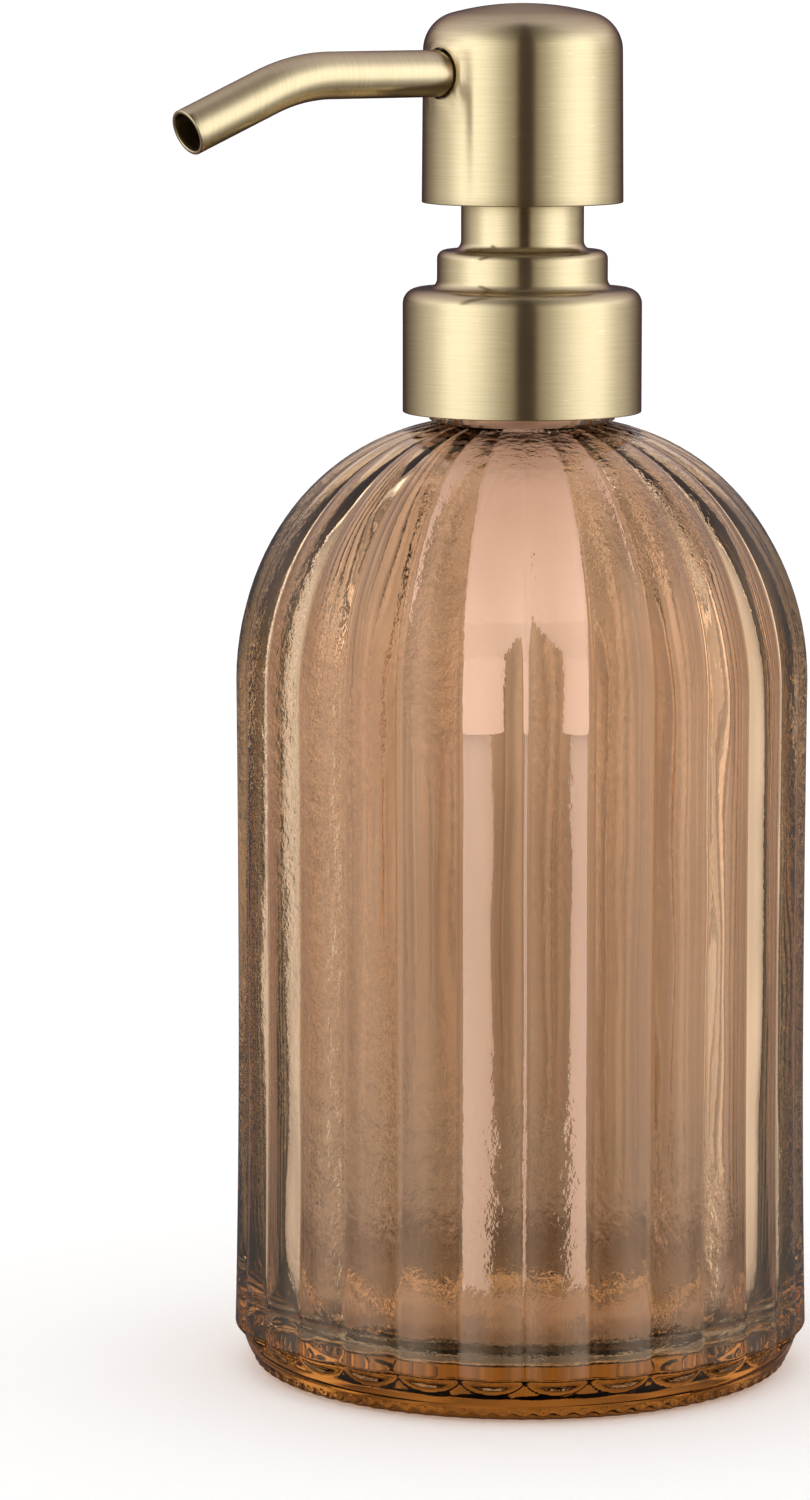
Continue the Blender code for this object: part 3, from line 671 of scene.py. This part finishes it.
def makeHeadShell():
    outline = headOutline(0)[::-1] + headOutline(head["wall"])
    bm = turnedMesh(outline, head["sides"])
    rim = [
        edge for edge in bm.edges
        if all(abs(vert.co.z - head["rimZ"]) < 0.001 for vert in edge.verts)
        and abs(edge.verts[0].co.xy.length - edge.verts[1].co.xy.length) < 0.05
    ]
    bmesh.ops.bevel(
        bm, geom=rim, offset=0.16, affect="EDGES", segments=3, profile=0.5, material=-1,
        offset_type="OFFSET",
    )
    # the wall is pulled out a little round the spout, as a punched hole leaves it
    for vert in bm.verts:
        away = math.hypot(vert.co.x, vert.co.z - spout["z"])
        if vert.co.y < 0 and away < spout["hole"] + head["lipReach"]:
            pull = 1 - min(1, abs(away - spout["hole"] - 0.3) / 2.0)
            vert.co.y -= head["lip"] * pull**2 * (1 - math.cos(math.pi * pull)) / 2
    shell = finishPiece(bm, "headShell", "head_shell", "turnedGold", "gold_metal", "head", sharp=42)
    cutter = bmesh.new()
    turn = Matrix.Rotation(math.pi / 2, 4, "X")
    bmesh.ops.create_cone(
        cutter, cap_ends=True, segments=64, radius1=spout["hole"] * mm, radius2=spout["hole"] * mm,
        depth=0.006, matrix=Matrix.Translation((0, -0.0128, spout["z"] * mm)) @ turn,
    )
    toolMesh = bpy.data.meshes.new("spoutHole")
    cutter.to_mesh(toolMesh)
    cutter.free()
    tool = bpy.data.objects.new("spoutHole", toolMesh)
    scene.collection.objects.link(tool)
    cut = shell.modifiers.new("spoutHole", "BOOLEAN")
    cut.operation = "DIFFERENCE"
    cut.object = tool
    bpy.context.view_layer.update()
    graph = bpy.context.evaluated_depsgraph_get()
    holed = bpy.data.meshes.new_from_object(shell.evaluated_get(graph))
    shell.modifiers.clear()
    shell.data = holed
    holed.set_sharp_from_angle(angle=math.radians(42))
    bpy.data.objects.remove(tool)


makeHeadShell()
print("head is drawn")


def makeSpout():
    droop = math.radians(spout["droop"])
    bm = bmesh.new()
    start = Matrix.Translation((0, -spout["root"], spout["z"])) @ Matrix.Rotation(math.pi / 2, 4, "X")
    made = bmesh.ops.create_circle(
        bm, cap_ends=True, segments=spout["sides"], radius=spout["radius"], matrix=start
    )
    disc = made["verts"][0].link_faces[0]
    bmesh.ops.inset_region(
        bm, faces=[disc], thickness=spout["wall"], use_even_offset=True, use_boundary=True
    )
    bmesh.ops.delete(bm, geom=[disc], context="FACES_ONLY")
    ring = list(bm.faces)
    run = spout["straight"] - spout["root"]
    ring = sweepOn(bm, ring, (0, 0, 0), (1, 0, 0), 0, (0, -run / 24, 0), 24, keep=True)
    centre = (0, -spout["straight"], spout["z"] - spout["bend"])
    ring = sweepOn(bm, ring, centre, (1, 0, 0), droop, (0, 0, 0), 20)
    bendEnd = spout["straight"] + spout["bend"] * math.sin(droop)
    last = (spout["reach"] - bendEnd) / math.cos(droop)
    step = (0, -last * math.cos(droop) / 14, -last * math.sin(droop) / 14)
    ring = sweepOn(bm, ring, (0, 0, 0), (1, 0, 0), 0, step, 14)
    tipEdges = {
        edge for face in ring for edge in face.edges
        if sum(other in ring for other in edge.link_faces) == 1
    }
    bmesh.ops.bevel(
        bm, geom=list(tipEdges), offset=spout["tipEdge"], affect="EDGES", segments=3, profile=0.5,
        material=-1, offset_type="OFFSET",
    )
    finishPiece(bm, "spoutTube", "spout_tube", "spoutGold", "gold_metal", "head", sharp=42)


makeSpout()
print("spout is bent")


pump = {
    "gap": 0.3,  # clearance between the plastic pieces
    "flange": radiusOf("pump_cylinder"), "flangeZ": 138.0, "flangeTop": topOf("pump_cylinder"),
    "radius": 7.6, "bore": 6.5, "foot": 98.5, "ledge": 100.5, "vent": 132.0, "chamber": 3.3,
    "seat": 93.5, "throat": 1.7, "nipple": 4.7, "nippleTop": 92.0, "nippleFoot": footOf("pump_cylinder"),
    "tube": radiusOf("dip_tube"), "tubeBore": 2.4, "tubeTop": topOf("dip_tube"), "tubeFoot": 9.0,
    "slant": 0.4, "guideFoot": footOf("stem_guide"), "guideFlange": radiusOf("stem_guide"),
    "guideTop": topOf("stem_guide"), "pocket": 1.6, "sides": 72, "springSeat": topOf("spring_seat"),
}
plunger = {
    "stem": 3.6, "bore": 1.5, "foot": footOf("plunger_stem"), "top": topOf("plunger_stem"),
    "shoulder": 131.2, "valve": 2.3, "valveTop": 129.8, "piston": footOf("piston_cup"),
    "pistonTop": topOf("piston_cup"), "seatFlange": radiusOf("valve_seat"), "seatZ": footOf("valve_seat"),
    "seatTop": 122.2, "plugTop": topOf("valve_seat"), "wire": 0.45, "coil": 4.6, "openCoils": 5,
}
plastic = ("whitePlastic", "white_plastic")
rubber = ("greyRubber", "grey_rubber")


def turnedPiece(name, node, outline, look, body):
    finishPiece(turnedMesh(outline, pump["sides"]), name, node, *look, body)


def makeCylinder():
    p, edge = pump, 0.15
    outline = rounded([
        (p["flange"], p["flangeZ"], edge), (p["flange"], p["flangeTop"], edge),
        (p["bore"], p["flangeTop"], edge), (p["bore"], p["vent"] + 0.6), (p["bore"], p["vent"] - 0.6),
        (p["bore"], p["ledge"]), (p["chamber"], p["ledge"]),
        (p["chamber"], p["seat"] + p["chamber"] - p["throat"]), (p["throat"], p["seat"]),
        (p["throat"], p["nippleTop"]), (p["tube"] + p["gap"], p["nippleTop"]),
        (p["tube"] + p["gap"], p["nippleFoot"]), (p["nipple"], p["nippleFoot"], 0.2),
        (p["nipple"], p["seat"], 0.8), (p["radius"], p["foot"], 0.8),
        (p["radius"], p["vent"] - 0.6), (p["radius"], p["vent"] + 0.6), (p["radius"], p["flangeZ"], 0.3),
    ], steps=4)
    bm = turnedMesh(outline, 48)
    holes = []
    for radius in (p["radius"], p["bore"]):
        spot = Vector((0, radius, p["vent"])) + Vector((0.3, 0, 0))
        near = min(bm.faces, key=lambda face: (face.calc_center_median() - spot).length)
        holes += list(near.edges)
        bmesh.ops.delete(bm, geom=[near], context="FACES_ONLY")
    bmesh.ops.bridge_loops(bm, edges=holes)
    finishPiece(bm, "pumpCylinder", "pump_cylinder", *plastic, "pump_body")


def makeGuide():
    p, bore = pump, plunger["stem"] + pump["gap"]
    low, high = p["flangeTop"] + p["gap"], collar["top"] - collar["sheet"] - p["gap"]
    radius = p["bore"] - p["gap"]
    pocketZ = p["guideTop"] - p["pocket"]
    turnedPiece("stemGuide", "stem_guide", rounded([
        (bore, p["guideFoot"], 0.15), (radius, p["guideFoot"], 0.3), (radius, low),
        (p["guideFlange"], low, 0.2), (p["guideFlange"], high, 0.2), (radius, high, 0.2),
        (radius, p["guideTop"], 0.2), (bore + 1.4, p["guideTop"], 0.1), (bore + 1.4, pocketZ),
        (bore, pocketZ),
    ], steps=3), plastic, "pump_body")


def ringOutline(inner, outer, low, high, edge):
    corners = [(inner, low, edge), (outer, low, edge), (outer, high, edge), (inner, high, edge)]
    return rounded(corners, steps=3)


def makeSeals():
    p, gap = pump, pump["gap"]
    turnedPiece(
        "neckGasket", "neck_gasket",
        ringOutline(p["radius"] + 2 * gap, p["flange"], bottle["lip"] + gap, p["flangeZ"] - gap, 0.2),
        rubber, "pump_body",
    )
    inner = plunger["stem"] + gap
    turnedPiece(
        "stemSeal", "stem_seal",
        ringOutline(inner, inner + 1.1, p["guideTop"] - p["pocket"] + gap, p["guideTop"], 0.25),
        rubber, "pump_body",
    )
    wire = 0.35
    bm = turnedMesh(arc(spout["hole"] + wire, 0, wire, wire, 0, fullTurn, 16)[:-1], 64)
    place = Matrix.Translation((0, -7.8, spout["z"])) @ Matrix.Rotation(math.pi / 2, 4, "X")
    bmesh.ops.transform(bm, matrix=place, verts=bm.verts)
    finishPiece(bm, "spoutSeal", "spout_seal", *rubber, "head")


def makeDipTube():
    p = pump
    outline = ringOutline(p["tubeBore"], p["tube"], p["tubeFoot"], p["tubeTop"], 0.12)
    bm = turnedMesh(outline, 48)
    for vert in bm.verts:
        if vert.co.z < p["nippleFoot"]:
            vert.co.z += vert.co.x * p["slant"]
    finishPiece(bm, "dipTube", "dip_tube", "clearPlastic", "clear_plastic", "pump_body")


def makePlunger():
    p = plunger
    shoulder, shoulderTop = p["stem"] + 1.4, p["shoulder"] + 1.2
    turnedPiece("plungerStem", "plunger_stem", rounded([
        (p["valve"], p["foot"]), (p["stem"], p["foot"], 0.2), (p["stem"], p["shoulder"]),
        (shoulder, p["shoulder"], 0.2), (shoulder, shoulderTop, 0.2), (p["stem"], shoulderTop),
        (p["stem"], p["top"], 0.2), (p["bore"], p["top"], 0.1), (p["bore"], p["valveTop"] + 0.8),
        (p["valve"], p["valveTop"]),
    ], steps=3), plastic, "plunger")
    inner, outer = p["stem"] + pump["gap"], pump["bore"] - pump["gap"]
    waist, lip = outer - 0.7, 1.4
    low, high = p["piston"], p["pistonTop"]
    turnedPiece("pistonCup", "piston_cup", rounded([
        (inner, low), (waist, low, 0.1), (outer, low + 0.3, 0.1), (outer, low + lip, 0.2),
        (waist, low + lip + 0.7, 0.4), (waist, high - lip - 0.7, 0.4), (outer, high - lip, 0.2),
        (outer, high, 0.1), (outer - 0.6, high, 0.1), (waist - 0.5, high - lip, 0.15),
        (inner, high - lip),
    ], steps=3), plastic, "plunger")
    plug, bore = p["valve"] - pump["gap"], 1.1
    turnedPiece("valveSeat", "valve_seat", rounded([
        (bore, p["seatZ"], 0.1), (p["seatFlange"], p["seatZ"], 0.2), (p["seatFlange"], p["seatTop"], 0.2),
        (plug, p["seatTop"], 0.1), (plug, p["plugTop"], 0.15), (bore, p["plugTop"], 0.2),
    ], steps=3), plastic, "plunger")


def makeBalls():
    for name, node, body in (
        ("inletBall", "inlet_ball", "inlet_valve"), ("outletBall", "outlet_ball", "outlet_valve")
    ):
        size, middle = (topOf(node) - footOf(node)) / 2, (topOf(node) + footOf(node)) / 2
        bm = bmesh.new()
        bmesh.ops.create_icosphere(
            bm, subdivisions=4, radius=size, matrix=Matrix.Translation((0, 0, middle))
        )
        finishPiece(bm, name, node, "ballSteel", "bright_steel", body)


def makeSpring():
    wire, coil = plunger["wire"], plunger["coil"]
    springFoot = pump["springSeat"] + pump["gap"]
    low = springFoot + wire
    high = plunger["seatZ"] - pump["gap"] - wire
    closedRise, perCoil = 2.3 * wire, 36
    openCoils = plunger["openCoils"]
    openRise = (high - low - 2 * closedRise) / openCoils
    bm = bmesh.new()
    start = Matrix.Translation((coil, 0, low)) @ Matrix.Rotation(math.pi / 2, 4, "X")
    made = bmesh.ops.create_circle(bm, cap_ends=True, segments=14, radius=wire, matrix=start)
    end = [made["verts"][0].link_faces[0]]
    for index, (coils, rise) in enumerate([(1, closedRise), (openCoils, openRise), (1, closedRise)]):
        step = (0, 0, rise / perCoil)
        end = sweepOn(
            bm, end, (0, 0, 0), upAxis, coils * fullTurn, step, coils * perCoil, keep=index == 0
        )
    spring = finishPiece(bm, "returnSpring", "return_spring", "wireSteel", "bright_steel", "pump_body")
    press = next(joint for joint in frame["joints"] if joint["name"] == "head_press")
    height = (high - low + 2 * wire) * mm
    keep = 1 - press["range_m"][1] / height
    springFoot * mm
    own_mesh(spring)


makeCylinder()
makeGuide()
makeSeals()
makeDipTube()
makePlunger()
makeBalls()
makeSpring()
for node in ("closure_cap", "head_core", "spring_seat"):
    slots = frame["nodes"][node].data.materials
    slots.clear()
    slots.append(finishes["whitePlastic"])
print("pump is assembled")
